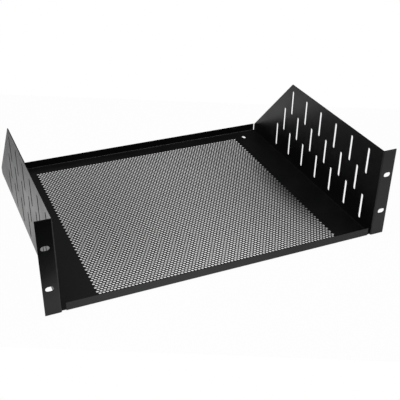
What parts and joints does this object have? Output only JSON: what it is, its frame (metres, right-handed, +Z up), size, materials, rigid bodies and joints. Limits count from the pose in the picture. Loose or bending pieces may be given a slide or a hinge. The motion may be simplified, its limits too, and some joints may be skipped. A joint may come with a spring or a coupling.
{
  "type": "cantilever rack shelf",
  "caption": "Folded sheet steel cantilever rack shelf with a perforated floor, slotted side walls cut away to the rear, front screw ears and low front and rear lips.",
  "frame": {"origin": "on the underside of the floor, midway between the ears and midway between the ears' front faces and the rear lip's rear face", "axes": "+X across the rack to the right as seen from the front, +Y from the ears to the rear lip, +Z up"},
  "size_m": [0.4826, 0.368, 0.1325],
  "materials": {
    "powder_coat": "black powder coat, satin"
  },
  "bodies": {
    "root": {"shelf": "powder_coat"}
  },
  "joints": []
}
